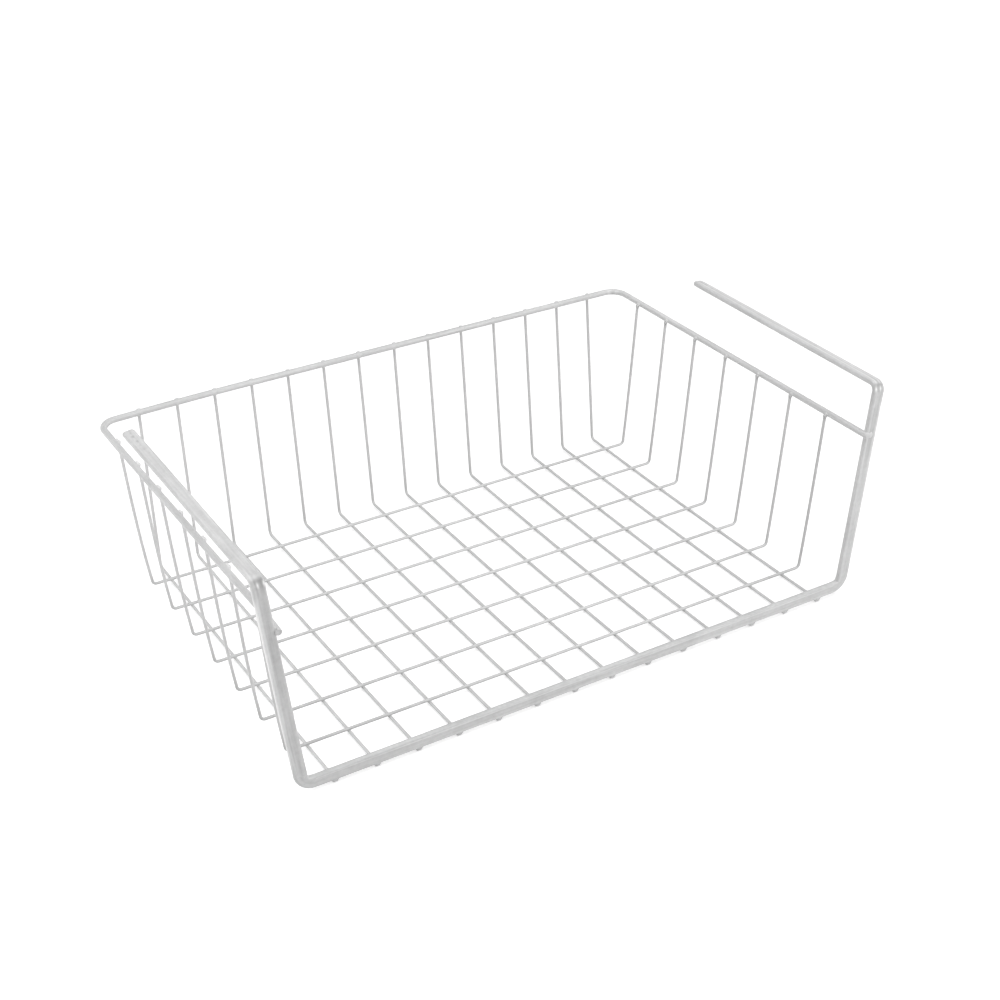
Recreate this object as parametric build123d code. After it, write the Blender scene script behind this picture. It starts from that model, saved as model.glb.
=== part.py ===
from build123d import *
import os
from math import cos, radians, sin, tan

# Under shelf wire basket, in millimetres.
# X runs across the basket, Y from its front to its back, and Z up.
# The origin lies under the middle of the basket, on the surface that it stands on.
# A flat-oval tube makes the front frame: two arms that hang on a shelf, two legs and a bottom run.
# A rim wire, lengthwise wires and crosswise wires are welded to it and to each other.

# Overall size, over the arms and from the surface to the top of the arms
overall_width = 400.0
overall_height = 141.0

# Depths, from the middle plane of the front tube
arm_reach = 171.4
rim_reach = 251.6

# Bar stock
wire_dia = 1.9
rim_dia = 3.7
tube_width = 7.2
tube_thick = 3.4

# Height of the rim's middle above the surface
rim_height = 108.1

# Lean of the legs and of the wire walls from upright, in degrees
leg_lean = 6.5
side_lean = 5.75
back_lean = 6.3

# Wire grid, and the gap from its last crosswise wire to the foot of the back wall
lengthwise_count = 14
crosswise_count = 7
last_row_gap = 19.8

# Bend radii, at the middle of the bar
tube_corner_radius = 8.2
arm_bend_radius = 4.4
rim_corner_radius = 12.0
wire_bend_radius = 4.0

# How deep the welds set the wires and the rim into the tube
tube_weld_depth = 0.3
rim_weld_depth = 1.1

# Heights of the walls' cut ends above the rim's middle, below it where negative
back_end_rise = 1.0
side_end_rise = -0.2

# How far the cut ends at the front stand proud of the tube
wire_end_proud = 0.4
rim_end_proud = 0.8

# Closed ends of the arms, with a crease that fades out along the top
tip_length = 7.0
tip_thick = 2.0
tip_corner_radius = 2.4
crease_length = 12.0
crease_depth = 0.3

# Hollow that the outside of each top bend takes, between two ridges
dent_depth = 0.35
dent_width = 3.6

# The thin wires are rounded by this many flats, and they lie on each other and on the rim by a flat
wire_sides = 10

# Half sizes of the bars
wire_radius = wire_dia / 2
rim_radius = rim_dia / 2
half_tube_flat = (tube_width - tube_thick) / 2

# Corners of the front frame, where the middle lines of its straight runs meet
arm_x = overall_width / 2 - half_tube_flat * cos(radians(leg_lean)) - tube_thick / 2
arm_z = overall_height - half_tube_flat * sin(radians(leg_lean)) - tube_thick / 2
bottom_z = wire_dia - tube_weld_depth + tube_width / 2
bottom_x = arm_x - (arm_z - bottom_z) * tan(radians(leg_lean))

# The rim runs along the inner edges of the legs
leg_x_at_rim = arm_x - (arm_z - rim_height) * tan(radians(leg_lean))
rim_x = leg_x_at_rim - (tube_width / 2 + rim_radius - rim_weld_depth) / cos(radians(leg_lean))

# The walls lie against the rim, the back wall outside it and the side walls inside
wall_offset = rim_radius + wire_radius
lengthwise_z = wire_radius
crosswise_z = lengthwise_z + wire_dia


def wall_line(rim_place, offset, lean, floor_z, end_rise):
    """Where a leaning wall wire meets the floor and where it ends, as two (place, height) pairs."""
    place = rim_place + offset * cos(radians(lean))
    height = rim_height - offset * sin(radians(lean))
    foot = place - (height - floor_z) * tan(radians(lean))
    head_z = rim_height + end_rise
    head = place + (head_z - height) * tan(radians(lean))
    return (foot, floor_z), (head, head_z)


# Feet and heads of the walls, the back wall's measured from the middle plane of the front tube
side_foot, side_head = wall_line(rim_x, -wall_offset, side_lean, crosswise_z, side_end_rise)
back_foot, back_head = wall_line(rim_reach, wall_offset, back_lean, lengthwise_z, back_end_rise)

# The middle plane of the front tube, placed so that the basket's box is centred on the origin
front_extent = tube_thick / 2 + max(rim_end_proud, wire_end_proud)
back_extent = back_head[0] + wire_radius * cos(radians(back_lean))
front_y = (front_extent - back_extent) / 2

# The floor's fields are even, with half a field beside each side wall
lengthwise_pitch = 2 * side_foot[0] / lengthwise_count
crosswise_pitch = (back_foot[0] - last_row_gap) / crosswise_count
wire_outline = RegularPolygon(wire_radius, wire_sides, major_radius=False, rotation=90 - 180 / wire_sides)


def bent_bar(outline, side, corners, radii):
    """A bar of one outline along straight runs, with a bend at each inner corner."""
    runs = [after - before for before, after in zip(corners, corners[1:])]
    turns = [run.get_angle(following) for run, following in zip(runs, runs[1:])]
    tangents = [radius * tan(radians(turn / 2)) for radius, turn in zip(radii, turns)]
    place = Plane(corners[0], x_dir=side, z_dir=runs[0])
    bar = Part()
    for index, run in enumerate(runs):
        length = run.length - sum(tangents[max(index - 1, 0):index + 1])
        bar += extrude(place * outline, length)
        place = place.offset(length)
        if index < len(turns):
            turned = runs[index + 1].normalized()
            inward = (turned - place.z_dir * turned.dot(place.z_dir)).normalized()
            axis = Axis(place.origin + inward * radii[index], place.z_dir.cross(inward))
            bar += revolve(place * outline, axis, turns[index])
            reach = tangents[index]
            origin = place.origin + place.z_dir * reach + turned * reach
            place = Plane(origin, x_dir=place.x_dir.rotate(axis, turns[index]), z_dir=turned)
    return bar


def hollow_radius(width, depth):
    """Radius of the round tool that leaves a hollow of this width and depth in a flat face."""
    return (depth ** 2 + (width / 2) ** 2) / (2 * depth)


def lengthwise_wire(x):
    """A wire from under the front tube, along the floor and up the back wall."""
    tip_y = front_y - tube_thick / 2 - wire_end_proud
    corners = [
        Vector(x, tip_y, lengthwise_z),
        Vector(x, front_y + back_foot[0], back_foot[1]),
        Vector(x, front_y + back_head[0], back_head[1]),
    ]
    return bent_bar(wire_outline, Vector(1, 0, 0), corners, [wire_bend_radius])


def crosswise_wire(y):
    """A wire down one side wall, over the lengthwise wires and up the other side wall."""
    corners = [
        Vector(-side_head[0], y, side_head[1]),
        Vector(-side_foot[0], y, side_foot[1]),
        Vector(side_foot[0], y, side_foot[1]),
        Vector(side_head[0], y, side_head[1]),
    ]
    return bent_bar(wire_outline, Vector(0, 1, 0), corners, [wire_bend_radius] * 2)


def rim_bar():
    """The rim: from one leg along the side, the back and the other side to the other leg."""
    end_y = front_y - tube_thick / 2 - rim_end_proud
    back_y = front_y + rim_reach
    corners = [
        Vector(-rim_x, end_y, rim_height),
        Vector(-rim_x, back_y, rim_height),
        Vector(rim_x, back_y, rim_height),
        Vector(rim_x, end_y, rim_height),
    ]
    return bent_bar(Circle(rim_radius), Vector(0, 0, 1), corners, [rim_corner_radius] * 2)


def arm_tip(place):
    """The closed end of an arm: both wide faces slope to a thin lip, and its corners are round."""
    bar = extrude(place * SlotOverall(tube_width, tube_thick), tip_length)
    slope = Plane(place.origin, x_dir=place.z_dir, z_dir=place.x_dir)
    half_side = Polyline(
        (0, 0), (0, tube_thick / 2), (tip_length, tip_thick / 2), (tip_length, 0),
    )
    side = make_face(half_side + mirror(half_side, Plane.XZ))
    plan = Plane(place.origin, x_dir=place.x_dir, z_dir=place.y_dir)
    corners = RectangleRounded(tube_width, 2 * tip_length, tip_corner_radius)
    tip = bar & extrude(slope * side, tube_width, both=True)
    return tip & extrude(plan * corners, tube_thick, both=True)


def tip_crease(place):
    """The square bar whose tilted lower edge leaves the crease along the top of an arm's end."""
    up = place.y_dir if place.y_dir.Z > 0 else -place.y_dir
    deep_end = place.origin + place.z_dir * tip_length + up * (tip_thick / 2 - crease_depth)
    fine_end = place.origin + place.z_dir * (tip_length - crease_length) + up * tube_thick / 2
    run = fine_end - deep_end
    start = deep_end - run.normalized() * crease_depth
    outline = RegularPolygon(2 * crease_depth, 4, align=(Align.CENTER, Align.MIN))
    return extrude(Plane(start, x_dir=up.cross(run), z_dir=run) * outline, run.length + 2 * crease_depth)


def bend_hollow(corner, arm_run, leg_run):
    """The round tool that leaves the hollow on the outside of a top bend, deepest half way round it."""
    outer = arm_bend_radius + tube_thick / 2
    tool = hollow_radius(dent_width, dent_depth)
    half_turn = radians(arm_run.get_angle(leg_run) / 2)
    inward = (arm_run + leg_run).normalized()
    centre = corner + inward * (arm_bend_radius / sin(half_turn) - outer + dent_depth - tool)
    return Plane(centre, z_dir=arm_run - leg_run) * Cylinder(tool, 2 * outer)


def front_frame(wires, rim):
    """The tube, from one arm's tip down a leg, along the front and up to the other arm's tip."""
    arm_end_y = front_y + arm_reach - tip_length
    left = [
        Vector(-arm_x, arm_end_y, arm_z),
        Vector(-arm_x, front_y, arm_z),
        Vector(-bottom_x, front_y, bottom_z),
    ]
    right = [Vector(-corner.X, corner.Y, corner.Z) for corner in reversed(left)]
    side = Vector(cos(radians(leg_lean)), 0, sin(radians(leg_lean)))
    radii = [arm_bend_radius, tube_corner_radius, tube_corner_radius, arm_bend_radius]
    tube = bent_bar(SlotOverall(tube_width, tube_thick), side, left + right, radii)
    for tip, bend, foot in (left, right[::-1]):
        across = Vector(side.X, 0, side.Z if tip.X < 0 else -side.Z)
        place = Plane(tip, x_dir=across, z_dir=tip - bend)
        tube += arm_tip(place)
        tube -= tip_crease(place)
        tube -= bend_hollow(bend, (tip - bend).normalized(), (foot - bend).normalized())
    return tube - wires - rim


lengthwise_middle = (lengthwise_count - 1) / 2
lengthwise_wires = [
    lengthwise_wire((index - lengthwise_middle) * lengthwise_pitch) for index in range(lengthwise_count)
]
rim = rim_bar()

parts = {"front_frame": front_frame(lengthwise_wires, rim), "rim_wire": rim}
for number, wire in enumerate(lengthwise_wires, start=1):
    parts[f"lengthwise_wire_{number:02d}"] = wire
for number in range(1, crosswise_count + 1):
    parts[f"crosswise_wire_{number}"] = crosswise_wire(front_y + number * crosswise_pitch)

os.makedirs("parts", exist_ok=True)
for name, part in parts.items():
    export_step(part, f"parts/{name}.step")
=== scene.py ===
import math

import bmesh
import bpy
from mathutils import Matrix, Vector


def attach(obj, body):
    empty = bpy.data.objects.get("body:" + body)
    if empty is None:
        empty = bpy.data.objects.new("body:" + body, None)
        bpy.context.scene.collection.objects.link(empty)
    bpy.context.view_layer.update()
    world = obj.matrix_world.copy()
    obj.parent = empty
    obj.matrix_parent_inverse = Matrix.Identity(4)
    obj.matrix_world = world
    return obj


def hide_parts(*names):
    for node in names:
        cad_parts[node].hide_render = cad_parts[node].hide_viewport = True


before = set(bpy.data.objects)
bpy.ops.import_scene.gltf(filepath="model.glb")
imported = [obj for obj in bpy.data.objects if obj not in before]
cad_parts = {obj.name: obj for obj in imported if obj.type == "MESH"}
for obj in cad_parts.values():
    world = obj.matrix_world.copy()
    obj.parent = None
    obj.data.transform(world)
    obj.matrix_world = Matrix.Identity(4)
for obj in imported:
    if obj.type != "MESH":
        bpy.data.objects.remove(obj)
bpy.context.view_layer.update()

# Under shelf basket of coated steel: a flat-oval front tube, a rim and a grid of thin wires.
# Lengths are in millimetres until they are divided by MM.
# Left and right are as seen from the front: x is below zero on the left.
MM = 1000

# Middle lines of the bars: where the front tube's middle lies, and depths measured from there
front_y = -126.486
arm_reach = 171.4
arm_x = 196.33
arm_z = 139.07
foot_x = 181.158
foot_z = 5.2
side_foot_x = 175.092
back_foot_y = 242.588
back_head_y = 254.41
back_head_z = 108.2

# The grid of thin wires: how many, how far apart, and how high their middles lie on the floor
long_count = 14
cross_count = 7
grid_x = 25.013
grid_y = 31.827
low_wire_z = 0.95
high_wire_z = 2.85

# The rim: half width and height at each end and at each back corner
rim_end_y = -2.45
rim_back_y = 251.6
rim_left_end = (188.7, 107.75)
rim_right_end = (189.2, 107.9)
rim_left_back = (188.1, 108.25)
rim_right_back = (186.7, 108.25)

# Sections: the tube's thickness, the width of its flats and half its whole width, and the radii
# of the rim and of the thin wires
tube_thick = 3.4
tube_flat = 3.8
tube_half = 3.6
rim_round = 1.95
wire_round = 0.95

# Bend radii, at the middle of the bar, and the inside radius of the two bottom bends
arm_bend = 4.4
foot_bend = 8.2
foot_bend_inside = 4.6
rim_left_bend = 9.5
rim_right_bend = 10.5
floor_bend = 2.6
back_bend = 3.0

# How far the coat rounds the edges of the closed ends
tube_edge_round = 0.35
rim_edge_round = 0.3
wire_edge_round = 0.22

# Points around the rings that the bars and the round welds are drawn from
tube_points = 32
rim_points = 28
wire_points = 18
weld_points = 14

# Lean of the legs and of the wire walls from upright
leg_lean = math.radians(6.5)
side_lean = math.radians(5.75)
back_lean = math.radians(6.3)

# Side walls: their height, then on the left and on the right how far they bow out, how far their
# wires end below the rim's middle and how far below it the pressed heads lie
side_wall_rise = 104
side_bow = (1.0, 0.4)
side_end_drop = (0.5, 0.9)
head_drop = (1.3, 1.1)

# How deep the side walls' wires sit in the rim, and how far the lengthwise ones stand out in front
side_sink = 0.13
front_proud = 0.1

# The pressed heads of the back wall are set in and rise a little over the ends of its wires
back_head_in = 0.12
back_head_rise = 0.4

# How far the tube lies off true: at its feet, its top corners, its tips and its left bottom bend,
# and the share of the leg's height over which that bend's own offset fades
left_foot_off, right_foot_off = Vector((-0.25, 0, 0.7)), Vector((1.25, 0, 1.15))
left_corner_off, right_corner_off = Vector((0, 0, -2.15)), Vector((-0.6, 0, -0.08))
left_tip_off, right_tip_off = Vector((1.3, 0.5, -0.05)), Vector((0, 3.2, -0.08))
left_bend_in = Vector((0.6, 0, 0))
left_bend_rise = 0.3

# How far the rim lies off true: the droop of its left end, then its left run near the corner, with
# the depths and the places across between which that comes in
left_end_droop = Vector((0.5, 0, -2.0))
left_end_droop_length = 24
left_corner_in = 0.35
corner_in_depths = (212, 244)
corner_in_across = (-60, -160)

# Its back is drawn in over a length that starts left of the middle, and so are the runs near it
back_drawn_in = 3.2
drawn_in_start = 90
drawn_in_length = 98
drawn_in_curve = 1.8
drawn_in_depths = (190, 240)

# Points this close to a border count as lying on it
hair = 0.001

across, inward, upward = Vector((1, 0, 0)), Vector((0, 1, 0)), Vector((0, 0, 1))


def place(x, y, z):
    """A point in metres, with its depth measured from the middle of the front tube."""
    return Vector((x, front_y + y, z)) / MM


def clamp(share):
    """Keeps a share between 0 and 1."""
    return min(max(share, 0), 1)


def soft_step(value, start, end):
    """A soft step from 0 at the start to 1 at the end, which may lie below the start."""
    share = clamp((value - start) / (end - start))
    return share * share * (3 - 2 * share)


def hump(offset, reach):
    """A soft hump of height 1 at offset 0 that fades to nothing at its reach."""
    return 0.5 + 0.5 * math.cos(math.pi * min(abs(offset) / reach, 1))


# How the welded basket lies off true, by a millimetre or so

def floor_shift(x, depth):
    """The floor sags between its edges, lies a little to the right and is widest in front."""
    u, w = x / foot_x, depth / back_foot_y
    aside = 0.85 + 0.7 * u - 0.25 * w - 0.7 * u * w
    back = 0.4 - 0.3 * u - 0.2 * w
    sag = 4 * w * (1 - w) * (0.98 + 0.42 * u)
    up = 1.05 + 0.25 * u + 0.75 * w - 0.5 * u * w - sag
    return Vector((aside, back, up))


def corner_dip(x):
    """How far the back of the rim is drawn in towards its left corner."""
    share = max((-x - drawn_in_start) / drawn_in_length, 0)
    return back_drawn_in * share ** drawn_in_curve


def head_shift(x):
    """The back wall's heads stand high and to the right, on the left half more so outward."""
    aside = 1.35 if x > 0 else 0.3 - 1.15 * x / foot_x
    return Vector((aside, -corner_dip(x), 0.4))


def tube_shift(x, depth, height):
    """The left arm leans in and dips in front, and the feet stand a little high and wide."""
    side = clamp(x / foot_x / 2 + 0.5)
    rise = clamp((height - foot_z) / (arm_z - foot_z))
    reach = clamp(depth / arm_reach)
    foot = left_foot_off.lerp(right_foot_off, side)
    left_top = left_corner_off.lerp(left_tip_off, reach)
    right_top = right_corner_off.lerp(right_tip_off, reach)
    bend_in = left_bend_in * max(1 - side - rise / left_bend_rise, 0)
    return foot.lerp(left_top.lerp(right_top, side), rise) + bend_in


# Tools for shaping bars

def take(piece):
    """Makes a piece the only one at hand."""
    bpy.ops.object.select_all(action="DESELECT")
    piece.select_set(True)
    bpy.context.view_layer.objects.active = piece


def select_whole():
    """Selects all of the piece in edit mode."""
    bpy.ops.mesh.select_all(action="SELECT")


def pick(kind, wanted):
    """Selects the points, edges or faces in edit mode that are wanted, and nothing else."""
    bpy.ops.mesh.select_mode(type={"verts": "VERT", "edges": "EDGE", "faces": "FACE"}[kind])
    bpy.ops.mesh.select_all(action="DESELECT")
    shape = bmesh.from_edit_mesh(bpy.context.object.data)
    for item in getattr(shape, kind):
        item.select_set(wanted(item))
    bmesh.update_edit_mesh(bpy.context.object.data)


def open_new(name):
    """Names the newest piece and opens it in edit mode with all its points selected."""
    piece = bpy.context.object
    piece.name = piece.data.name = name
    bpy.ops.object.transform_apply(location=True, rotation=True, scale=True)
    bpy.ops.object.mode_set(mode="EDIT")
    bpy.ops.mesh.select_mode(type="VERT")
    select_whole()
    return piece


def start_ring(name, centre, heading, side, radius, points):
    """A ring of points around the start of a bar, left selected in edit mode."""
    bpy.ops.object.select_all(action="DESELECT")
    turn = Matrix((side, heading.cross(side), heading)).transposed().to_euler()
    bpy.ops.mesh.primitive_circle_add(
        vertices=points, radius=radius / MM, location=centre, rotation=turn,
    )
    return open_new(name)


def draw_out(run, steps=1):
    """Pulls the selected ring along a straight run."""
    for _ in range(steps):
        bpy.ops.mesh.extrude_region_move(TRANSFORM_OT_translate={"value": run / steps})


def bend_round(pivot, axis, angle, steps):
    """Turns the selected ring around a pivot, as a bending roller does."""
    bpy.ops.mesh.spin(steps=steps, angle=-angle, center=pivot, axis=axis)


def draw_bar(corners, radii, run_steps, bend_steps):
    """Draws the selected ring along straight runs with a round bend at each inner corner."""
    at = corners[0]
    for index, corner in enumerate(corners[1:]):
        heading = (corner - at).normalized()
        if index == len(radii):
            draw_out(corner - at, run_steps[index])
            return
        following = (corners[index + 2] - corner).normalized()
        turn = heading.angle(following)
        radius = radii[index] / MM
        tangent = radius * math.tan(turn / 2)
        towards_pivot = (following - heading * following.dot(heading)).normalized()
        bend_start = corner - heading * tangent
        draw_out(bend_start - at, run_steps[index])
        pivot = bend_start + towards_pivot * radius
        bend_round(pivot, heading.cross(towards_pivot), turn, bend_steps)
        at = corner + following * tangent


def close_ends(edge_round=None):
    """Closes a shape's open ends, rounds their edges as the coat does, and faces it outward."""
    select_whole()
    bpy.ops.mesh.fill_holes(sides=0)
    if edge_round:
        pick("faces", lambda face: len(face.verts) > 4)
        bpy.ops.mesh.bevel(offset=edge_round / MM, segments=3, affect="EDGES")
    select_whole()
    bpy.ops.mesh.normals_make_consistent(inside=False)
    bpy.ops.object.mode_set(mode="OBJECT")


def smooth(piece):
    """Shades a piece smooth, apart from its sharp edges."""
    take(piece)
    bpy.ops.object.shade_smooth_by_angle(angle=math.radians(40))


def add_marks(piece, name, values):
    """Gives each point of a piece a value that its coat reads."""
    piece.data.attributes.new(name, "FLOAT", "POINT").data.foreach_set("value", values)


def add_along(piece, values):
    """Gives each point of a piece its place along and across the bar, for the coat's streaks."""
    along = piece.data.attributes.new("along", "FLOAT_VECTOR", "POINT")
    along.data.foreach_set("vector", values)


# Front tube: its left half is drawn from the arm's tip to the middle of the bottom run, then
# mirrored. Offsets across it are above zero towards the inside of the basket.

# The length at the arm's tip that is drawn finely, because it is dented
fine_length = 34

lean_across = Vector((math.cos(leg_lean), 0, math.sin(leg_lean)))
lean_up = Vector((-math.sin(leg_lean), 0, math.cos(leg_lean)))
leg_way = -lean_up

# The tube's two corners, and the pivots of its two bends
arm_corner = Vector((-arm_x, 0, arm_z))
foot_corner = Vector((-foot_x, 0, foot_z))
half_turn = (math.pi / 2 - leg_lean) / 2
setback = foot_bend * math.tan(half_turn)
arm_pivot = arm_corner + Vector((0, arm_bend, 0)) + leg_way * arm_bend
foot_pivot = foot_corner - leg_way * setback + lean_across * foot_bend
middle_way = (foot_corner - foot_pivot).normalized()

# Where the stretches of the tube start, measured along it from the arm's tip
leg_length = (foot_corner - arm_corner).length
leg_end = leg_length - setback
leg_start = arm_reach - arm_bend + arm_bend * math.pi / 2
foot_start = leg_start + leg_length - setback - arm_bend
bottom_start = foot_start + foot_bend * 2 * half_turn

# The whole length in metres, a little over, so that both halves have streaks of their own
whole_length = 0.97

# Dents near the arm's tip: distance from the tip, offset, half length, half width, depth
tip_dents = [
    (4.8, -0.2, 2.2, 1.2, 0.1),
    (8.8, -0.4, 2.3, 1.3, 0.16),
    (15.0, -0.1, 2.2, 1.3, 0.14),
    (19.8, -0.3, 1.9, 1.1, 0.08),
    (25.3, -0.2, 1.7, 1.0, 0.05),
    (30.5, 0.9, 1.6, 0.9, 0.05),
]
deepest_dent = 0.16

# The tip's lip: how much thinner it is, over what length, and the radius of its corners
tip_thinning = 0.16
tip_taper = 6.5
tip_corner = 1.3

# The hollow on the outside of a top bend: its offset, half width and depth, and the same of the
# two ridges beside it, from its middle. It runs on along the leg, and fainter along the arm.
hollow_middle = 1.1
hollow_reach = 1.5
hollow_depth = 0.25
ridge_offset = 1.65
ridge_reach = 0.8
ridge_height = 0.1
hollow_on_arm = 4.0
hollow_on_arm_share = 0.8
hollow_on_leg = 5.0

# The flats dip along their middle, and the outer sides of the legs and the bottom run stand out
flat_dip_depth = 0.1
outer_spread = 0.4

# The inner side of a bottom bend: how much of its sharper form shows, and its swell and ripples
inner_sharpness = 0.92
bend_swell = 0.3
bend_swell_reach = 0.7
bend_ripple = 0.1
bend_ripple_turns = 16

# Edges of the flats, where the coat is thin
edge_offset = 2.05
edge_reach = 0.5


def draw_tube():
    """The left half of the tube, with half circles for its sides."""
    heading = Vector((0, -1, 0))
    tip = place(-arm_x, arm_reach, arm_z)
    half_step = Matrix.Rotation(math.pi / tube_points, 3, heading)
    side = half_step @ lean_across
    tube = start_ring("front_tube", tip, heading, side, tube_thick / 2, tube_points)
    for way in (1, -1):
        pick("verts", lambda point: (point.co - tip).dot(lean_across) * way > 0)
        bpy.ops.transform.translate(value=lean_across * way * tube_flat / 2 / MM)
    pick("edges", lambda flat: flat.calc_length() > tube_thick / 2 / MM)
    bpy.ops.mesh.subdivide(number_cuts=9)
    bpy.ops.mesh.select_mode(type="VERT")
    select_whole()
    draw_out(heading * fine_length / MM, steps=2 * fine_length)
    corners = [
        place(-arm_x, arm_reach - fine_length, arm_z),
        place(-arm_x, 0, arm_z),
        place(-foot_x, 0, foot_z),
        place(0, 0, foot_z),
    ]
    draw_bar(corners, [arm_bend, foot_bend], run_steps=[26, 24, 34], bend_steps=18)
    bpy.ops.object.mode_set(mode="OBJECT")
    return tube


def square_up(wide, thick):
    """The tube's sides are squarer than half circles: moves a point of a side outward."""
    side = (abs(wide) - tube_flat / 2) / (tube_thick / 2)
    rise = abs(thick) / (tube_thick / 2)
    if side < hair or rise < hair:
        return wide, thick
    out = (side ** 3 + rise ** 3) ** (-1 / 3)
    return math.copysign((tube_flat + tube_thick * side * out) / 2, wide), thick * out


def flat_dip(wide):
    """How deep the flats dip along their middle."""
    return flat_dip_depth * hump(wide, tube_flat / 2)


def leg_spread(wide):
    """How much further out the outer sides of the legs and the bottom run lie than the arms'."""
    return outer_spread * min(wide, 0) / tube_half


def dent_depths(wide, from_tip):
    """How deep each dent is at a point on top of the arm."""
    return [
        depth * hump(from_tip - centre, length) * hump(wide - offset, width)
        for centre, offset, length, width, depth in tip_dents
    ]


def press_tip(wide, thick, from_tip):
    """Thins the arm's end to a lip, rounds its corners and dents it along the middle of its top."""
    thick *= 1 - tip_thinning * soft_step(from_tip, tip_taper, 0)
    if from_tip < tip_corner:
        rounding = math.sqrt(tip_corner ** 2 - (tip_corner - from_tip) ** 2)
        wide *= (tube_half - tip_corner + rounding) / tube_half
    if thick > 0:
        for depth in dent_depths(wide, from_tip):
            thick -= depth
    return wide, thick


def bend_mark(wide):
    """How deep the outside of a top bend sinks in its hollow, which lies between two ridges."""
    from_hollow = wide - hollow_middle
    ridges = ridge_height * hump(abs(from_hollow) - ridge_offset, ridge_reach)
    return hollow_depth * hump(from_hollow, hollow_reach) - ridges


# Painted light and shade on the tube: marks above zero darken its coat, and marks below zero
# lighten it

def painted_edge_highlight(wide):
    """A painted highlight lightens the coat along the edges of the outer flat."""
    return -0.28 * hump(abs(wide) - edge_offset, edge_reach)


def painted_bend_shade_and_highlights(wide, turned):
    """Painted shade darkens the hollow of a top bend, and painted highlights lighten its two
    ridges.
    """
    dark = 0.85 * soft_step(abs(wide - 0.4), 4.4, 1.4) * hump(turned - 1.2, 0.65)
    dark += 0.8 * soft_step(abs(wide), tube_half, 2.8) * hump(turned - 0.8, 0.4)
    bright = hump(abs(wide - hollow_middle) - ridge_offset, 0.85) * hump(turned - 1.25, 0.45)
    return dark - 2.6 * bright


def right_painted_light(wide, facing_up, z, on_arm, on_leg):
    """Painted light on the right half: painted reflections streak the arm's top, painted shade
    darkens the leg's middle near the top, and the inner sides of the leg and the arm are lighter.
    """
    lines = 0.6 * math.cos(wide * 2 * math.pi / 2.3)
    lines *= soft_step(abs(wide), 2.6, 2.2) * soft_step(facing_up, 0.7, 0.9)
    middle = 0.4 * hump(wide - 1.0, 2.4) * soft_step(z, 82, 97)
    leg = middle - 0.45 * soft_step(wide, 1.7, 2.5)
    return lines + on_leg * leg - 0.25 * on_arm * soft_step(wide, 0, 1.8)


def left_painted_light(wide, z, on_arm, on_leg):
    """Painted light on the left half: the leg's outer side is lighter near the top, and the arm's
    is darker.
    """
    outer = (0.3 - 0.75 * soft_step(z, 50, 100)) * soft_step(wide, -1.0, -2.2)
    outer *= soft_step(z, 12, 20) * (1 - on_arm)
    arm = 0.3 * soft_step(wide, -2.4, -3.0) - 0.14
    return on_leg * 0.17 * soft_step(wide, -2.2, -1.6) + outer + on_arm * arm


# Shapes of the tube's stretches: each takes a point of the drawn tube and gives its new place,
# its distance along the tube, its offset across it and its mark of painted light and shade

def shape_arm(point, wide, down):
    from_tip = max(arm_reach - point.y, 0)
    squared, thick = square_up(wide, -down)
    mark = 0
    # On top, painted shade darkens the dents and painted highlights line the flat's edges
    if thick > 0:
        mark = max(0, *dent_depths(squared, from_tip)) / deepest_dent + painted_edge_highlight(squared)
    if from_tip < fine_length:
        squared, thick = press_tip(squared, thick, from_tip)
    thick -= math.copysign(flat_dip(wide) * soft_step(from_tip, 4, 10), thick)
    if thick > 0:
        thick -= bend_mark(squared) * hump(point.y - arm_bend, hollow_on_arm) * hollow_on_arm_share
    point = arm_corner + lean_across * squared + lean_up * thick + Vector((0, point.y, 0))
    return point, from_tip, wide, mark


def shape_top_bend(point, wide):
    spoke = point - arm_pivot
    spoke -= lean_across * spoke.dot(lean_across)
    reach = spoke.length
    turned = spoke.angle(lean_up)
    squared, thick = square_up(wide, reach - arm_bend)
    squared += leg_spread(wide) * turned / math.pi * 2
    point += spoke / reach * (thick + arm_bend - reach) + lean_across * (squared - wide)
    mark = 0
    if reach > arm_bend:
        # Painted shade and highlights on the outside of the bend
        mark = painted_bend_shade_and_highlights(wide, turned) + painted_edge_highlight(wide)
        point -= spoke / reach * (bend_mark(wide) + flat_dip(wide))
    else:
        point += spoke / reach * flat_dip(wide)
    return point, arm_reach - arm_bend + arm_bend * turned, wide, mark


def shape_leg(point, wide, down):
    squared, thick = square_up(wide, -point.y)
    point += lean_across * (squared + leg_spread(wide) - wide)
    thick -= math.copysign(flat_dip(wide), thick)
    # Painted light lightens the leg's outer side between its bends
    painted_light_share = 0.95 * soft_step(wide, -1.9, -2.5) + 0.5 * soft_step(wide, -2.8, -3.4)
    mark = -painted_light_share * soft_step(down, 9, 14) * soft_step(down, leg_end, leg_end - 14)
    if thick > 0:
        below_bend = down - arm_bend
        thick -= bend_mark(wide) * hump(below_bend, hollow_on_leg)
        # Below the top bend, painted shade and highlights run on down the leg
        mark += painted_bend_shade_and_highlights(wide, math.pi / 2 + below_bend / arm_bend / 1.4) + painted_edge_highlight(wide)
    point.y = -thick
    return point, leg_start + down - arm_bend, wide, mark


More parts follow.
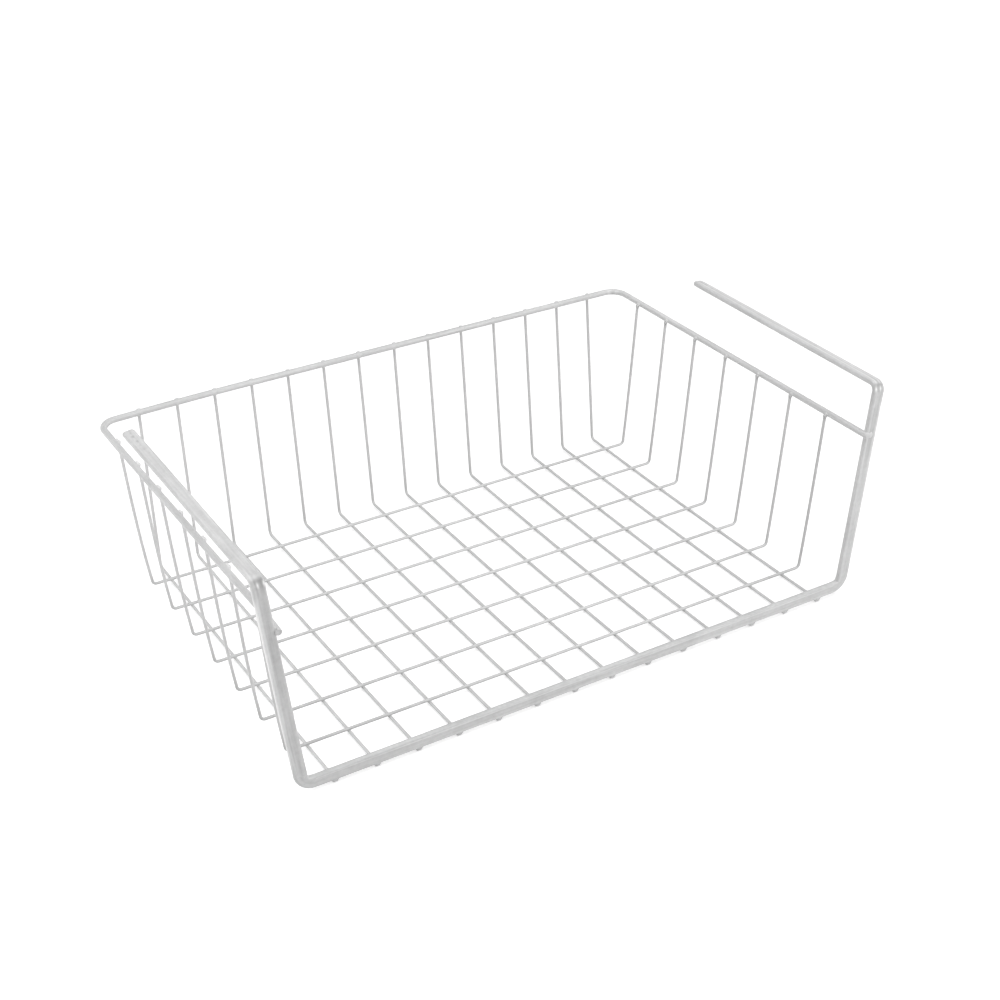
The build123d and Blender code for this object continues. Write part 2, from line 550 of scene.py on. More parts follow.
def shape_bottom_bend(point):
    spoke = point - foot_pivot
    spoke.y = 0
    reach = spoke.length
    wide = reach - foot_bend
    squared, thick = square_up(wide, point.y)
    point += spoke / reach * (squared - leg_spread(-wide) - wide)
    point.y = thick
    # The inner side is sharper than the middle's radius, and swells from the bending
    inner = max(-wide / tube_half, 0)
    off_middle = spoke.angle(middle_way)
    sharper = 1 / math.cos(max(half_turn - off_middle, 0)) - 1
    point += spoke / reach * foot_bend_inside * sharper * inner * inner_sharpness
    ripple = bend_ripple * math.cos(off_middle * bend_ripple_turns) * inner
    swell = inner * (bend_swell * hump(off_middle, bend_swell_reach) + ripple)
    # Painted highlights along the edges of the front flat
    mark = painted_edge_highlight(wide) if point.y < 0 else 0
    point.y += math.copysign(swell - flat_dip(wide), point.y)
    return point, foot_start + foot_bend * spoke.angle(-lean_across), wide, mark


def shape_bottom_run(point):
    run = bottom_start + point.x + foot_x - setback
    wide = foot_z - point.z
    squared, point.y = square_up(wide, point.y)
    point.z = foot_z - squared + leg_spread(-wide)
    # Painted shade darkens the run's upper round side, and a stronger painted highlight lines its
    # upper edge
    mark = 0.2 * soft_step(wide, -2.5, -2.9)
    if point.y < 0:
        mark += painted_edge_highlight(wide) * (3.2 if wide < 0 else 1)
    point.y -= math.copysign(flat_dip(wide), point.y)
    return point, run, wide, mark


def shape_tube(tube):
    """Presses the tip shut, squares the sides, dips the flats, leaves the marks of bending and
    paints light and shade on the tube.
    """
    along, pressed = [], []
    for vertex in tube.data.vertices:
        point = vertex.co * MM - Vector((0, front_y, 0))
        from_corner = point - arm_corner
        wide, down = from_corner.dot(lean_across), from_corner.dot(leg_way)
        if point.y > arm_bend - hair:
            shaped = shape_arm(point, wide, down)
        elif down < arm_bend + hair:
            shaped = shape_top_bend(point, wide)
        elif down < leg_end:
            shaped = shape_leg(point, wide, down)
        elif point.x < -foot_x + setback:
            shaped = shape_bottom_bend(point)
        else:
            shaped = shape_bottom_run(point)
        point, run, wide, mark = shaped
        along += [run / MM, wide / MM, 0]
        pressed.append(mark)
        vertex.co = (point + Vector((0, front_y, 0))) / MM
    add_along(tube, along)
    # The pressed marks are painted shade in the dents and hollows and painted highlights on edges
    # and ridges
    add_marks(tube, "pressed", pressed)


def mirror_tube(tube):
    """Adds the right half and closes both tips."""
    half = tube.modifiers.new("other_half", "MIRROR")
    half.use_clip = True
    half.merge_threshold = 0.00005
    take(tube)
    bpy.ops.object.modifier_apply(modifier=half.name)
    bpy.ops.object.mode_set(mode="EDIT")
    close_ends(tube_edge_round)


def settle_tube(tube):
    """Moves each half of the tube off true and paints its own light and shade on it."""
    facing_up = [vertex.normal.z for vertex in tube.data.vertices]
    runs, marks = tube.data.attributes["along"].data, tube.data.attributes["pressed"].data
    for vertex, run, mark, up in zip(tube.data.vertices, runs, marks, facing_up):
        x, y, z = vertex.co * MM
        depth = y - front_y
        wide = run.vector.y * MM
        on_leg = soft_step(z, 12, 20) * soft_step(z, 130, 122)
        on_arm = soft_step(depth, 6, 14)
        if x > 0:
            mark.value += right_painted_light(wide, up, z, on_arm, on_leg)
            run.vector = Vector((whole_length - run.vector.x, run.vector.y, 0))
        else:
            mark.value += left_painted_light(wide, z, on_arm, on_leg)
        vertex.co += tube_shift(x, depth, z) / MM
    smooth(tube)


tube = draw_tube()
shape_tube(tube)
mirror_tube(tube)
settle_tube(tube)


# Rim: one thick round wire, from one leg around the back to the other leg

# How far bending draws in the outside of its left corner and gathers the inside
corner_thinning = 0.2
corner_gathering = 0.8

# The dish that the shears leave in its left cut end: the lip around it, its depth and its taper
dish_lip = 0.3
dish_depth = 0.2
dish_taper = 0.8


def rim_at(side, depth):
    """Half the rim's width and its height at a depth, left for side -1 and right for side 1."""
    front, back = (rim_left_end, rim_left_back) if side < 0 else (rim_right_end, rim_right_back)
    share = depth / rim_back_y
    return [near + (far - near) * share for near, far in zip(front, back)]


def corner_pinch(x, depth):
    """Bending draws the outside of the rim's left corner thin and gathers its inside."""
    spoke_y = depth - rim_back_y + rim_left_bend
    spoke = Vector((x + rim_left_back[0] - rim_left_bend, spoke_y, 0))
    if spoke.x > 0 or spoke.y < 0:
        return Vector()
    outward = (spoke.length - rim_left_bend) / rim_round
    inward_move = corner_thinning * soft_step(outward, 0, 1)
    inward_move += corner_gathering * soft_step(outward, 0, -1)
    return -spoke.normalized() * inward_move * math.sin(2 * math.atan2(spoke.y, -spoke.x))


def rim_painted_light(at, up):
    """Painted light on the rim, above zero where it is lighter: the top of its right run, and less
    so the rest, with painted highlights and shade across its right corner and a darker top on its
    back run.
    """
    depth = at.y - front_y
    if at.x > rim_right_back[0] - 7 and depth < rim_back_y - 10:
        return 0.4 + 0.5 * hump(math.asin(max(min(up, 1), -1)) - 0.95, 0.5)
    if at.x > rim_right_back[0] - rim_right_bend:
        spoke_y = depth - rim_back_y + rim_right_bend
        spoke = Vector((at.x - rim_right_back[0] + rim_right_bend, spoke_y))
        turn = math.atan2(spoke.x, spoke.y)
        # Painted highlights and shade across the right corner
        painted_light_share = 0.8 * hump(turn - 0.3, 0.2) - 0.9 * hump(turn - 0.62, 0.2)
        painted_light_share += 0.8 * hump(turn - 0.95, 0.2)
        inside = soft_step(spoke.length, rim_right_bend, rim_right_bend - 0.8)
        return 0.3 + painted_light_share * inside * soft_step(up, 0.9, 0.6)
    if depth > rim_back_y - 7:
        return 0.3 - 0.55 * soft_step(up, 0.55, 0.85)
    return 0


def dish_end():
    """The shears leave the left cut end a little hollow."""
    bpy.ops.object.mode_set(mode="EDIT")
    pick("faces", lambda face: len(face.verts) > 8 and face.calc_center_median().x < 0)
    bpy.ops.mesh.inset(thickness=dish_lip / MM)
    bpy.ops.mesh.extrude_region_move(TRANSFORM_OT_translate={"value": (0, dish_depth / MM, 0)})
    middle = place(-rim_left_end[0], rim_end_y, rim_left_end[1])
    bpy.ops.transform.resize(value=(dish_taper, 1, dish_taper), center_override=middle)
    bpy.ops.object.mode_set(mode="OBJECT")


def settle_rim(rim):
    """Moves the rim off true, and gives it its painted light and the run of its streaks."""
    for vertex in rim.data.vertices:
        x, y, z = vertex.co * MM
        depth = y - front_y
        vertex.co += corner_pinch(x, depth) / MM
        vertex.co.y -= corner_dip(x) * soft_step(depth, *drawn_in_depths) / MM
        if x < 0:
            vertex.co += left_end_droop * max(1 - depth / left_end_droop_length, 0) ** 2 / MM
            bowed = soft_step(depth, *corner_in_depths) * soft_step(x, *corner_in_across)
            vertex.co.x += left_corner_in * bowed / MM
    places = [vertex.co.copy() for vertex in rim.data.vertices]
    tones = [rim_painted_light(vertex.co * MM, vertex.normal.z) for vertex in rim.data.vertices]
    add_along(rim, [value for at in places for value in (at.x + at.y, at.z, 0)])
    # The rim's painted light goes into the mark named weld, which the wires' coat reads
    add_marks(rim, "weld", tones)
    smooth(rim)


def draw_rim():
    """The whole rim, settled and marked."""
    corners = [
        place(-rim_left_end[0], rim_end_y, rim_left_end[1]),
        place(-rim_left_back[0], rim_back_y, rim_left_back[1]),
        place(rim_right_back[0], rim_back_y, rim_right_back[1]),
        place(rim_right_end[0], rim_end_y, rim_right_end[1]),
    ]
    heading = (corners[1] - corners[0]).normalized()
    side = heading.cross(upward).normalized()
    rim = start_ring("rim_bar", corners[0], heading, side, rim_round, rim_points)
    draw_bar(corners, [rim_left_bend, rim_right_bend], run_steps=[28, 20, 28], bend_steps=16)
    close_ends(rim_edge_round)
    dish_end()
    settle_rim(rim)
    return rim


rim = draw_rim()


# Thin wires

def wire_x(index):
    """Where a lengthwise wire lies, counted from 0 at the left."""
    return (index - (long_count - 1) / 2) * grid_x


def draw_wire(name, corners, radii, run_steps):
    """A round wire along its corners, with its cut ends rounded by the coat."""
    heading = (corners[1] - corners[0]).normalized()
    side = heading.orthogonal().normalized()
    wire = start_ring(name, corners[0], heading, side, wire_round, wire_points)
    draw_bar(corners, radii, run_steps, bend_steps=8)
    close_ends(wire_edge_round)
    return wire


def copy_of(piece, name, move):
    """A copy with its own mesh, moved to its place."""
    take(piece)
    bpy.ops.object.duplicate(linked=False)
    twin = open_new(name)
    bpy.ops.transform.translate(value=move)
    bpy.ops.object.mode_set(mode="OBJECT")
    return twin


def settle_long(wire, x):
    """Lays a lengthwise wire on the sagging floor and against the rim."""
    for vertex in wire.data.vertices:
        depth = vertex.co.y * MM - front_y
        rise = clamp((vertex.co.z * MM - low_wire_z) / (back_head_z - low_wire_z))
        vertex.co += floor_shift(x, depth).lerp(head_shift(x), rise) / MM
    smooth(wire)


def settle_cross(wire, depth):
    """Lays a crosswise wire on the floor, with its side walls bowed out a little."""
    for vertex in wire.data.vertices:
        x, y, z = vertex.co * MM
        rise = clamp((z - high_wire_z) / side_wall_rise)
        shift = floor_shift(x, depth) * (1 - rise)
        shift.x += math.copysign(side_bow[x > 0] * math.sin(math.pi * rise ** 0.75), x)
        vertex.co += shift / MM
    smooth(wire)


def draw_long_wires():
    """One wire from under the tube to the back wall's top, and its copies across the floor."""
    first_x = wire_x(0)
    first = draw_wire("floor_and_back_01", [
        place(first_x, -tube_thick / 2 - front_proud, low_wire_z),
        place(first_x, back_foot_y, low_wire_z),
        place(first_x, back_head_y, back_head_z),
    ], [back_bend], run_steps=[12, 6])
    wires = [first]
    for index in range(1, long_count):
        move = Vector((index * grid_x / MM, 0, 0))
        wires.append(copy_of(first, f"floor_and_back_{index + 1:02d}", move))
    for index, wire in enumerate(wires):
        settle_long(wire, wire_x(index))
    return wires


def side_head_at(side, depth):
    """Where a side wall's wire ends against the inside of the rim."""
    rim_half, rim_height = rim_at(side, depth)
    reach = (rim_round + wire_round - side_sink) / math.cos(side_lean)
    head_x = rim_half - reach - side_end_drop[0] * math.tan(side_lean)
    return place(side * head_x, depth, rim_height - side_end_drop[side > 0])


def draw_cross_wires():
    """The wires across the floor and up both side walls, each fitted to the rim at its depth."""
    wires = []
    for index in range(1, cross_count + 1):
        depth = index * grid_y
        wire = draw_wire(f"floor_and_sides_{index}", [
            side_head_at(-1, depth),
            place(-side_foot_x, depth, high_wire_z),
            place(side_foot_x, depth, high_wire_z),
            side_head_at(1, depth),
        ], [floor_bend] * 2, run_steps=[8, 12, 8])
        settle_cross(wire, depth)
        wires.append(wire)
    return wires


long_wires = draw_long_wires()
cross_wires = draw_cross_wires()


# Welds: a waist of coated metal between two bars, long along each bar on that bar's side

# How far the welds at the sides lie below the rim's middle and those at the legs out from it
side_weld_drop = 0.4
leg_weld_out = 1.2

# The pool of weld in front of the right leg: how far out and how far down from the rim's end
leg_pool_out = 2.9
leg_pool_drop = 0.3


def draw_web(name, rings, square=False, light=1.0):
    """One weld about the origin, drawn up through rings of (height, half length, half width).

    It starts as a circle or a square with round corners, and its light value is painted light on
    its coat: above zero it lightens the shade in its crevices, below zero it is painted shade.
    """
    height, length, width = rings[0]
    start = Vector((0, 0, height)) / MM
    if square:
        bpy.ops.object.select_all(action="DESELECT")
        bpy.ops.mesh.primitive_plane_add(size=2 / MM, location=start)
        web = open_new(name)
        bpy.ops.mesh.bevel(offset=0.45 / MM, segments=3, affect="VERTICES")
        select_whole()
        bpy.ops.mesh.delete(type="ONLY_FACE")
        select_whole()
    else:
        web = start_ring(name, start, upward, across, 1, weld_points)
    bpy.ops.transform.resize(value=(length, width, 1), center_override=(0, 0, 0))
    for next_height, next_length, next_width in rings[1:]:
        draw_out(Vector((0, 0, next_height - height)) / MM)
        growth = (next_length / length, next_width / width, 1)
        bpy.ops.transform.resize(value=growth, center_override=(0, 0, 0))
        height, length, width = next_height, next_length, next_width
    close_ends()
    add_marks(web, "weld", [light] * len(web.data.vertices))
    bpy.ops.object.shade_smooth()
    return web


def weld_on(piece, web, spots):
    """Joins copies of a weld to a piece, at spots given as (point, length way, height way)."""
    copies = []
    for point, length_way, height_way in spots:
        twin = web.copy()
        twin.data = web.data.copy()
        bpy.context.scene.collection.objects.link(twin)
        height_way = height_way.normalized()
        length_way = (length_way - height_way * length_way.dot(height_way)).normalized()
        turn = Matrix((length_way, height_way.cross(length_way), height_way)).transposed().to_4x4()
        twin.matrix_world = Matrix.Translation(point) @ turn
        copies.append(twin)
    take(piece)
    for twin in copies:
        twin.select_set(True)
    bpy.ops.object.join()


# Painted light on the welds: most are lightened against the shade in their crevices, while the weld
# under the front tube and the right heads get painted shade.
crossing_web = draw_web("crossing_weld", [
    (-0.42, 0.66, 1.75), (-0.26, 0.8, 1.35), (-0.1, 0.88, 1.05),
    (0.1, 1.05, 0.88), (0.26, 1.35, 0.8), (0.42, 1.75, 0.66),
])
rim_web = draw_web("rim_weld", [
    (-0.7, 1.0, 2.0), (-0.35, 1.2, 1.6), (0, 1.35, 1.35),
    (0.35, 1.45, 1.25), (0.7, 1.6, 1.05), (1.0, 1.7, 0.75),
])
front_web = draw_web("front_weld", [
    (-2.3, 1.3, 1.3), (-2.15, 1.5, 1.6), (-1.6, 1.9, 1.7),
    (-0.8, 2.6, 1.72), (0.1, 3.1, 1.68), (1.2, 3.6, 1.66),
], square=True, light=-0.6)
leg_pool = draw_web("leg_pool", [
    (-0.6, 2.2, 1.7), (-0.1, 1.9, 1.5), (0.15, 1.4, 1.1), (0.28, 0.8, 0.7), (0.32, 0.4, 0.3),
])
leg_web = draw_web("leg_weld", [
    (-1.4, 1.3, 1.6), (-0.8, 1.75, 1.7), (-0.2, 2.1, 1.65), (0.4, 2.5, 1.6), (1.0, 3.0, 1.5),
])
left_head = draw_web("left_head", [
    (-1.6, 0.95, 0.95), (-1.0, 1.2, 1.1), (-0.4, 1.6, 1.3), (0.1, 1.8, 1.4),
    (0.5, 1.6, 1.2), (0.75, 1.1, 0.8), (0.85, 0.5, 0.35),
], light=0.2)
right_head = draw_web("right_head", [
    (-1.6, 0.95, 0.95), (-0.9, 1.15, 1.0), (-0.3, 1.35, 1.1),
    (0.2, 1.35, 1.1), (0.5, 1.1, 0.9), (0.7, 0.6, 0.5),
], light=-0.6)
back_head = draw_web("back_head", [
    (-1.9, 0.95, 0.93), (-1.2, 1.1, 0.95), (-0.5, 1.35, 0.95), (0.1, 1.5, 0.95),
    (0.5, 1.4, 0.9), (0.82, 1.0, 0.7), (0.95, 0.5, 0.4),
], light=0.4)
press_mark = draw_web("press_mark", [
    (1.25, 1.4, 1.5), (1.62, 1.35, 1.2), (1.9, 1.1, 0.7), (2.03, 0.75, 0.4), (2.06, 0.4, 0.2),
], light=0.3)


def rim_beside(x):
    """The middle of the rim's back run where the lengthwise wire at x crosses it."""
    return place(x + head_shift(x).x, rim_back_y - corner_dip(x), rim_left_back[1])


def weld_long_wire(wire, x):
    """Welds to the rim and under the front tube, and the pressed head."""
    back_up = Vector((0, math.sin(back_lean), math.cos(back_lean)))
    back_out = Vector((0, math.cos(back_lean), -math.sin(back_lean)))
    at_rim = rim_beside(x) + back_out * rim_round / MM
    weld_on(wire, rim_web, [(at_rim, back_up, back_out)])
    head_y = back_head_y - corner_dip(x) - back_head_in
    head = place(x + head_shift(x).x, head_y, back_head_z + back_head_rise)
    weld_on(wire, back_head, [(head, across, back_up)])
    under_tube = place(x, 0, low_wire_z + wire_round) + floor_shift(x, 0) / MM
    weld_on(wire, front_web, [(under_tube, across, upward)])


def weld_cross_wire(wire, depth):
    """Welds to every lengthwise wire and to the rim at both sides, and the pressed heads."""
    crossings = []
    for number in range(long_count):
        x = wire_x(number)
        crossing = place(x, depth, low_wire_z + wire_round) + floor_shift(x, depth) / MM
        crossings.append((crossing, across, upward))
    weld_on(wire, crossing_web, crossings)
    at_sides, heads = [], []
    for side in (-1, 1):
        rim_half, rim_height = rim_at(side, depth)
        side_up = Vector((side * math.sin(side_lean), 0, math.cos(side_lean)))
        side_in = Vector((-side * math.cos(side_lean), 0, math.sin(side_lean)))
        at_rim = place(side * rim_half, depth, rim_height) + side_in * rim_round / MM
        at_sides.append((at_rim - side_up * side_weld_drop / MM, side_up, side_in))
        drop = side_in * (wire_round - side_sink) - side_up * head_drop[side > 0]
        heads.append((at_rim + drop / MM, inward, side_up))
    weld_on(wire, rim_web, at_sides)
    weld_on(wire, left_head, heads[:1])
    weld_on(wire, right_head, heads[1:])


def weld_rim(rim):
    """Welds to both legs, the pool in front of the right one, and marks behind each back wire."""
    at_legs = []
    for side in (-1, 1):
        half, height = rim_left_end if side < 0 else rim_right_end
        leg_up = Vector((side * math.sin(leg_lean), 0, math.cos(leg_lean)))
        leg_out = Vector((side * math.cos(leg_lean), 0, -math.sin(leg_lean)))
        droop = left_end_droop / MM if side < 0 else Vector()
        at_legs.append((place(side * (half + leg_weld_out), 0, height) + droop, leg_up, leg_out))
    weld_on(rim, leg_web, at_legs)
    half, height = rim_right_end
    pool_at = place(half + leg_pool_out, -tube_thick / 2, height - leg_pool_drop)
    weld_on(rim, leg_pool, [(pool_at, upward, -inward)])
    back_out = Vector((0, math.cos(back_lean), -math.sin(back_lean)))
    places = [rim_beside(wire_x(index)) for index in range(long_count)]
    weld_on(rim, press_mark, [(at, across, -back_out) for at in places])


def long_painted_light(at):
    """Painted light on a lengthwise wire: lighter up the back wall, darker on the floor."""
    floor_tone = -0.35 * soft_step(at.x, -150, -110) * (1 - 0.6 * soft_step(at.x, 90, 140))
    wall_tone = 0.37 + 0.2 * soft_step(at.x, -110, -140)
    return floor_tone + (wall_tone - floor_tone) * soft_step(at.z, 5, 13)


def cross_painted_light(at):
    """Painted light on a crosswise wire: lighter up the left wall, and painted shade beside its
    foot.
    """
    beside_foot = soft_step(at.x, -60, -170) * (0.95 - 0.5 * soft_step(at.y - front_y, 0, 120))
    floor_tone = 0.45 * hump(at.x - 25, 110) - beside_foot
    wall_tone = 0.75 if at.x < 0 else 0.05
    return floor_tone + (wall_tone - floor_tone) * soft_step(at.z, 5, 13)


def paint_light_on_wire(wire, tone_at):
    """Adds the painted light of its place to the weld mark of every point of a wire and of its
    welds.
    """
    for vertex, mark in zip(wire.data.vertices, wire.data.attributes["weld"].data):
        mark.value += tone_at(vertex.co * MM)


for index, wire in enumerate(long_wires):
    weld_long_wire(wire, wire_x(index))
    paint_light_on_wire(wire, long_painted_light)
for index, wire in enumerate(cross_wires, 1):
    weld_cross_wire(wire, index * grid_y)
    paint_light_on_wire(wire, cross_painted_light)
weld_rim(rim)
for web in (
    crossing_web, rim_web, front_web, leg_web, leg_pool,
    left_head, right_head, back_head, press_mark,
):
    bpy.data.objects.remove(web)


# Materials: a matt grey coat of paint, uneven in tone and a little rippled, with light and shade
# painted on from marks

# How fine the paint's ripples and patches are, and its streaks along and across the bar
coarse_ripple, fine_ripple = 400, 1600
cloud_fineness, speckle_fineness = 60, 450
streak_fineness = (22, 620, 0)


def new_group(name, inputs, outputs):
    """A shader group with named sockets, given as (name, kind, starting value)."""
    group = bpy.data.node_groups.new(name, "ShaderNodeTree")
    for way, sockets in (("INPUT", inputs), ("OUTPUT", outputs)):
        for socket_name, kind, start in sockets:
            socket = group.interface.new_socket(
                socket_name, in_out=way, socket_type="NodeSocket" + kind,
            )
            if start is not None:
                socket.default_value = start
    given = group.nodes.new("NodeGroupInput").outputs
    return group, given, group.nodes.new("NodeGroupOutput").inputs


def noise(nodes, links, vector, scale, detail):
    """Noise between 0 and 1."""
    texture = nodes.new("ShaderNodeTexNoise")
    texture.inputs["Scale"].default_value = scale
    texture.inputs["Detail"].default_value = detail
    links.new(vector, texture.inputs["Vector"])
    return texture.outputs["Fac"]


def reckon(nodes, links, operation, *values):
    """One step of sums on values; a plain number stays a number in the node."""
    node = nodes.new("ShaderNodeMath")
    node.operation = operation
    for socket, value in zip(node.inputs, values):
        if isinstance(value, (int, float)):
            socket.default_value = value
        else:
            links.new(value, socket)
    return node.outputs[0]


def make_ripple():
    """Orange peel of the baked paint, a coarse and a fine one."""
    group, given, result = new_group(
        "paint_ripple", [("Vector", "Vector", None)], [("Height", "Float", None)],
    )
    nodes, links = group.nodes, group.links
    coarse = noise(nodes, links, given["Vector"], coarse_ripple, 2)
    fine = noise(nodes, links, given["Vector"], fine_ripple, 1)
    fine_part = reckon(nodes, links, "MULTIPLY", fine, 0.35)
    links.new(reckon(nodes, links, "MULTIPLY_ADD", coarse, 0.65, fine_part), result["Height"])
    return group


def make_tone():
    """The tone of the coat: cloudy patches, streaks along the bar and marks of painted light and
    shade.
    """
    group, given, result = new_group("paint_tone", [
        ("Vector", "Vector", None), ("Along", "Vector", None),
        ("Shade", "Float", 0.66), ("Patches", "Float", 0.1), ("Streaks", "Float", 0.1),
        ("Mark", "Float", 0.0), ("Mark Depth", "Float", 0.2),
    ], [("Color", "Color", None), ("Roughness", "Float", None)])
    nodes, links = group.nodes, group.links
    where = given["Vector"]
    clouds = noise(nodes, links, where, cloud_fineness, 3)
    cloud = reckon(nodes, links, "SUBTRACT", clouds, 0.5)
    speckles = noise(nodes, links, where, speckle_fineness, 2)
    speckle = reckon(nodes, links, "SUBTRACT", speckles, 0.5)
    uneven = reckon(nodes, links, "MULTIPLY_ADD", speckle, 0.8, cloud)
    stretch = nodes.new("ShaderNodeVectorMath")
    stretch.operation = "MULTIPLY"
    stretch.inputs[1].default_value = streak_fineness
    links.new(given["Along"], stretch.inputs[0])
    stretched = noise(nodes, links, stretch.outputs["Vector"], 1, 2)
    streak = reckon(nodes, links, "SUBTRACT", stretched, 0.5)
    factor = reckon(nodes, links, "MULTIPLY_ADD", uneven, given["Patches"], 1.0)
    factor = reckon(nodes, links, "MULTIPLY_ADD", streak, given["Streaks"], factor)
    # The mark paints light and shade on the coat
    painted_light_share = reckon(nodes, links, "MULTIPLY", given["Mark"], given["Mark Depth"])
    factor = reckon(nodes, links, "SUBTRACT", factor, painted_light_share)
    tone = reckon(nodes, links, "MULTIPLY", given["Shade"], factor)
    colour = nodes.new("ShaderNodeCombineColor")
    for channel in ("Red", "Green", "Blue"):
        links.new(tone, colour.inputs[channel])
    links.new(colour.outputs["Color"], result["Color"])
    links.new(reckon(nodes, links, "MULTIPLY_ADD", uneven, 0.16, 0.4), result["Roughness"])
    return group


ripple_group, tone_group = make_ripple(), make_tone()


def paint(name, mark_name, settings):
    """A coat on which a mark of the piece paints shade, or paints light where the mark's depth is
    below zero.
    """
    coat = bpy.data.materials.new(name)
    coat.use_nodes = True
    nodes, links = coat.node_tree.nodes, coat.node_tree.links
    shader = nodes["Principled BSDF"]
    where = nodes.new("ShaderNodeTexCoord").outputs["Object"]
    along, mark = nodes.new("ShaderNodeAttribute"), nodes.new("ShaderNodeAttribute")
    along.attribute_name, mark.attribute_name = "along", mark_name
    tone = nodes.new("ShaderNodeGroup")
    tone.node_tree = tone_group
    for socket, value in settings.items():
        tone.inputs[socket].default_value = value
    links.new(where, tone.inputs["Vector"])
    links.new(along.outputs["Vector"], tone.inputs["Along"])
    links.new(mark.outputs["Fac"], tone.inputs["Mark"])
    links.new(tone.outputs["Color"], shader.inputs["Base Color"])
    links.new(tone.outputs["Roughness"], shader.inputs["Roughness"])
    ripple = nodes.new("ShaderNodeGroup")
    ripple.node_tree = ripple_group
    links.new(where, ripple.inputs["Vector"])
    bump = nodes.new("ShaderNodeBump")
    bump.inputs["Strength"].default_value = 0.25
    bump.inputs["Distance"].default_value = 0.0001
    links.new(ripple.outputs["Height"], bump.inputs["Height"])
    links.new(bump.outputs["Normal"], shader.inputs["Normal"])
    return coat


# The tube's coat reads its pressed marks, and the wires' coat their weld marks, as painted light
# and shade
tube_coat = paint("tube_coating", "pressed", {
    "Shade": 0.67, "Patches": 0.26, "Streaks": 0.45, "Mark Depth": 0.28,
})
wire_coat = paint("wire_coating", "weld", {
    "Shade": 0.67, "Patches": 0.2, "Streaks": 0.4, "Mark Depth": -0.16,
})
tube.data.materials.append(tube_coat)
for piece in [rim] + long_wires + cross_wires:
    piece.data.materials.append(wire_coat)


# Which piece stands for which part

stands_for = {tube: "front_frame", rim: "rim_wire"}
for number, wire in enumerate(long_wires, 1):
    stands_for[wire] = f"lengthwise_wire_{number:02d}"
for number, wire in enumerate(cross_wires, 1):
    stands_for[wire] = f"crosswise_wire_{number}"
for piece, node in stands_for.items():
    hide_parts(node)
    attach(piece, "root")


# Floor and backdrop: matt white paper that glows a little where the camera sees it

def shown_to_camera(nodes, links):
    """A mask of 1 where the camera sees a surface straight, in a reflection or through glass."""
    path = nodes.new("ShaderNodeLightPath").outputs
    first = reckon(nodes, links, "MAXIMUM", path["Is Camera Ray"], path["Is Glossy Ray"])
    return reckon(nodes, links, "MAXIMUM", first, path["Is Transmission Ray"])


def distance_glow(nodes, links):
    """The paper's own glow: even around the basket, and stronger far away where the lamps fade."""
    where = nodes.new("ShaderNodeTexCoord")
    length = nodes.new("ShaderNodeVectorMath")
    length.operation = "LENGTH"
    links.new(where.outputs["Object"], length.inputs[0])
    ramp = nodes.new("ShaderNodeMapRange")
    ramp.interpolation_type = "SMOOTHSTEP"
    ramp.inputs["From Min"].default_value = 0.35
    ramp.inputs["From Max"].default_value = 1.5
    ramp.inputs["To Min"].default_value = 0.56
    ramp.inputs["To Max"].default_value = 1.0
    links.new(length.outputs["Value"], ramp.inputs["Value"])
    return ramp.outputs["Result"]


def lay_floor():
    """A wide sheet of paper under the basket."""
    bpy.ops.object.select_all(action="DESELECT")
    bpy.ops.mesh.primitive_plane_add(size=12, location=(0, 0, 0))
    floor = bpy.context.object
    floor.name = "floor"
    paper = bpy.data.materials.new("floor_paper")
    paper.use_nodes = True
    nodes, links = paper.node_tree.nodes, paper.node_tree.links
    shader = nodes["Principled BSDF"]
    shader.inputs["Base Color"].default_value = (0.8, 0.8, 0.8, 1)
    shader.inputs["Roughness"].default_value = 1.0
    shader.inputs["Specular IOR Level"].default_value = 0.0
    shader.inputs["Emission Color"].default_value = (1, 1, 1, 1)
    shown, glow = shown_to_camera(nodes, links), distance_glow(nodes, links)
    links.new(reckon(nodes, links, "MULTIPLY", shown, glow), shader.inputs["Emission Strength"])
    floor.data.materials.append(paper)
    return floor


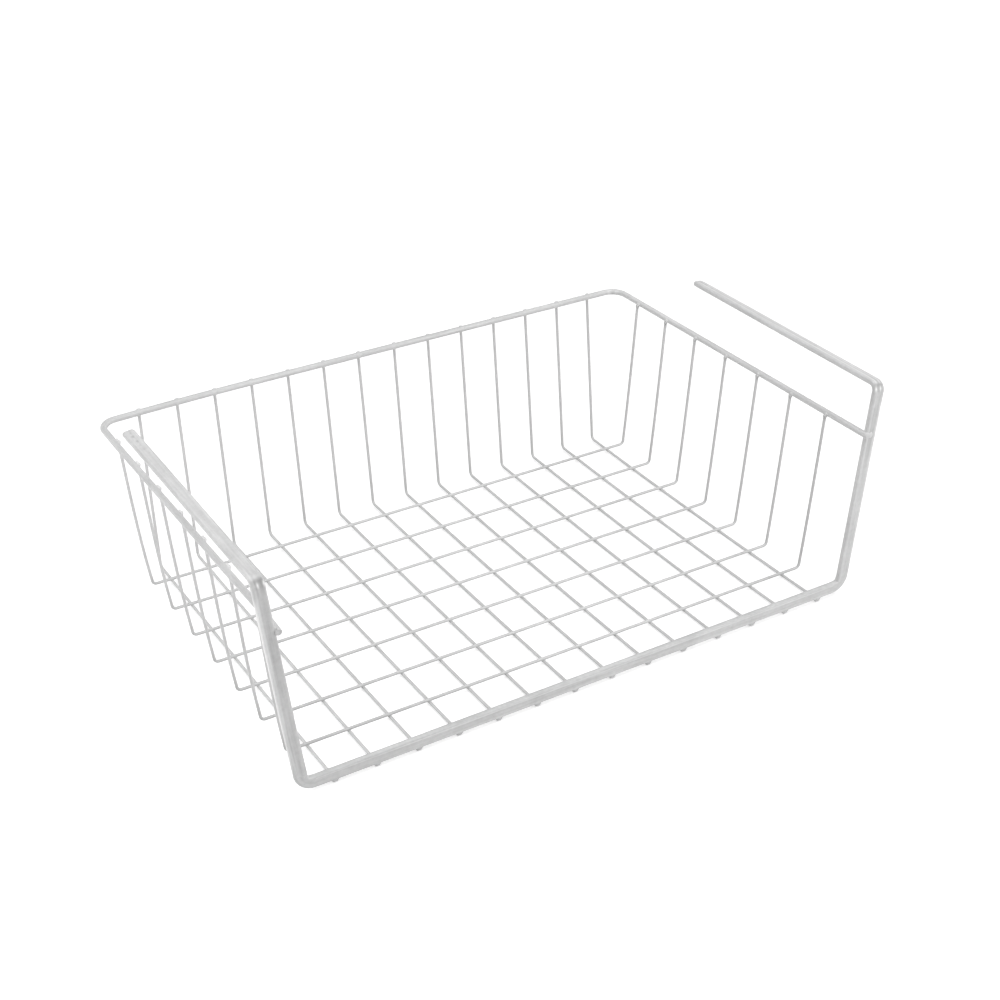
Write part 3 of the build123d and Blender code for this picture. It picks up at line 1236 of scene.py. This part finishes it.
def hang_backdrop():
    """A white surrounding that lights the basket softly and shows pure white to the camera."""
    world = bpy.data.worlds.new("studio")
    bpy.context.scene.world = world
    world.use_nodes = True
    nodes, links = world.node_tree.nodes, world.node_tree.links
    backdrop = nodes["Background"]
    backdrop.inputs["Color"].default_value = (1, 1, 1, 1)
    strength = nodes.new("ShaderNodeMapRange")
    strength.inputs["To Min"].default_value = 0.2
    strength.inputs["To Max"].default_value = 1.0
    links.new(shown_to_camera(nodes, links), strength.inputs["Value"])
    links.new(strength.outputs["Result"], backdrop.inputs["Strength"])


floor = lay_floor()
hang_backdrop()


# Lamps and camera, in metres and watts

def soft_lamp(name, stand, aim, size, power):
    """A square lamp that stands at one point and shines at another."""
    data = bpy.data.lights.new(name, "AREA")
    data.size = size
    data.energy = power
    lamp = bpy.data.objects.new(name, data)
    bpy.context.scene.collection.objects.link(lamp)
    lamp.location = stand
    lamp.rotation_euler = (Vector(aim) - Vector(stand)).to_track_quat("-Z", "Y").to_euler()


soft_lamp("ceiling_lamp", (0.1, -0.15, 1.7), (0, 0, 0), 1.6, 19)
soft_lamp("left_lamp", (-1.1, 0.1, 0.45), (0, 0, 0.07), 0.8, 2.8)
soft_lamp("near_left_lamp", (-0.6, -0.05, 0.15), (-0.19, -0.12, 0.06), 0.3, 0.32)
soft_lamp("front_lamp", (0.8, -1.1, 0.45), (0, 0, 0.07), 0.8, 6.8)

# The camera's place, where it looks, its roll and its lens, as fitted to the photograph
camera_place = (-0.46147, -0.78895, 0.58891)
camera_heading = (0.44809, 0.73998, -0.50163)
camera_roll = math.radians(0.258)
camera_lens = 63.04
camera_sensor = 36

camera_data = bpy.data.cameras.new("camera")
camera_data.lens = camera_lens
camera_data.sensor_width = camera_sensor
camera = bpy.data.objects.new("camera", camera_data)
bpy.context.scene.collection.objects.link(camera)
forward = Vector(camera_heading).normalized()
right = Matrix.Rotation(camera_roll, 3, forward) @ forward.cross(upward).normalized()
camera.matrix_world = Matrix((right, right.cross(forward), -forward)).transposed().to_4x4()
camera.location = camera_place
bpy.context.scene.camera = camera
bpy.context.scene.view_settings.view_transform = "Standard"
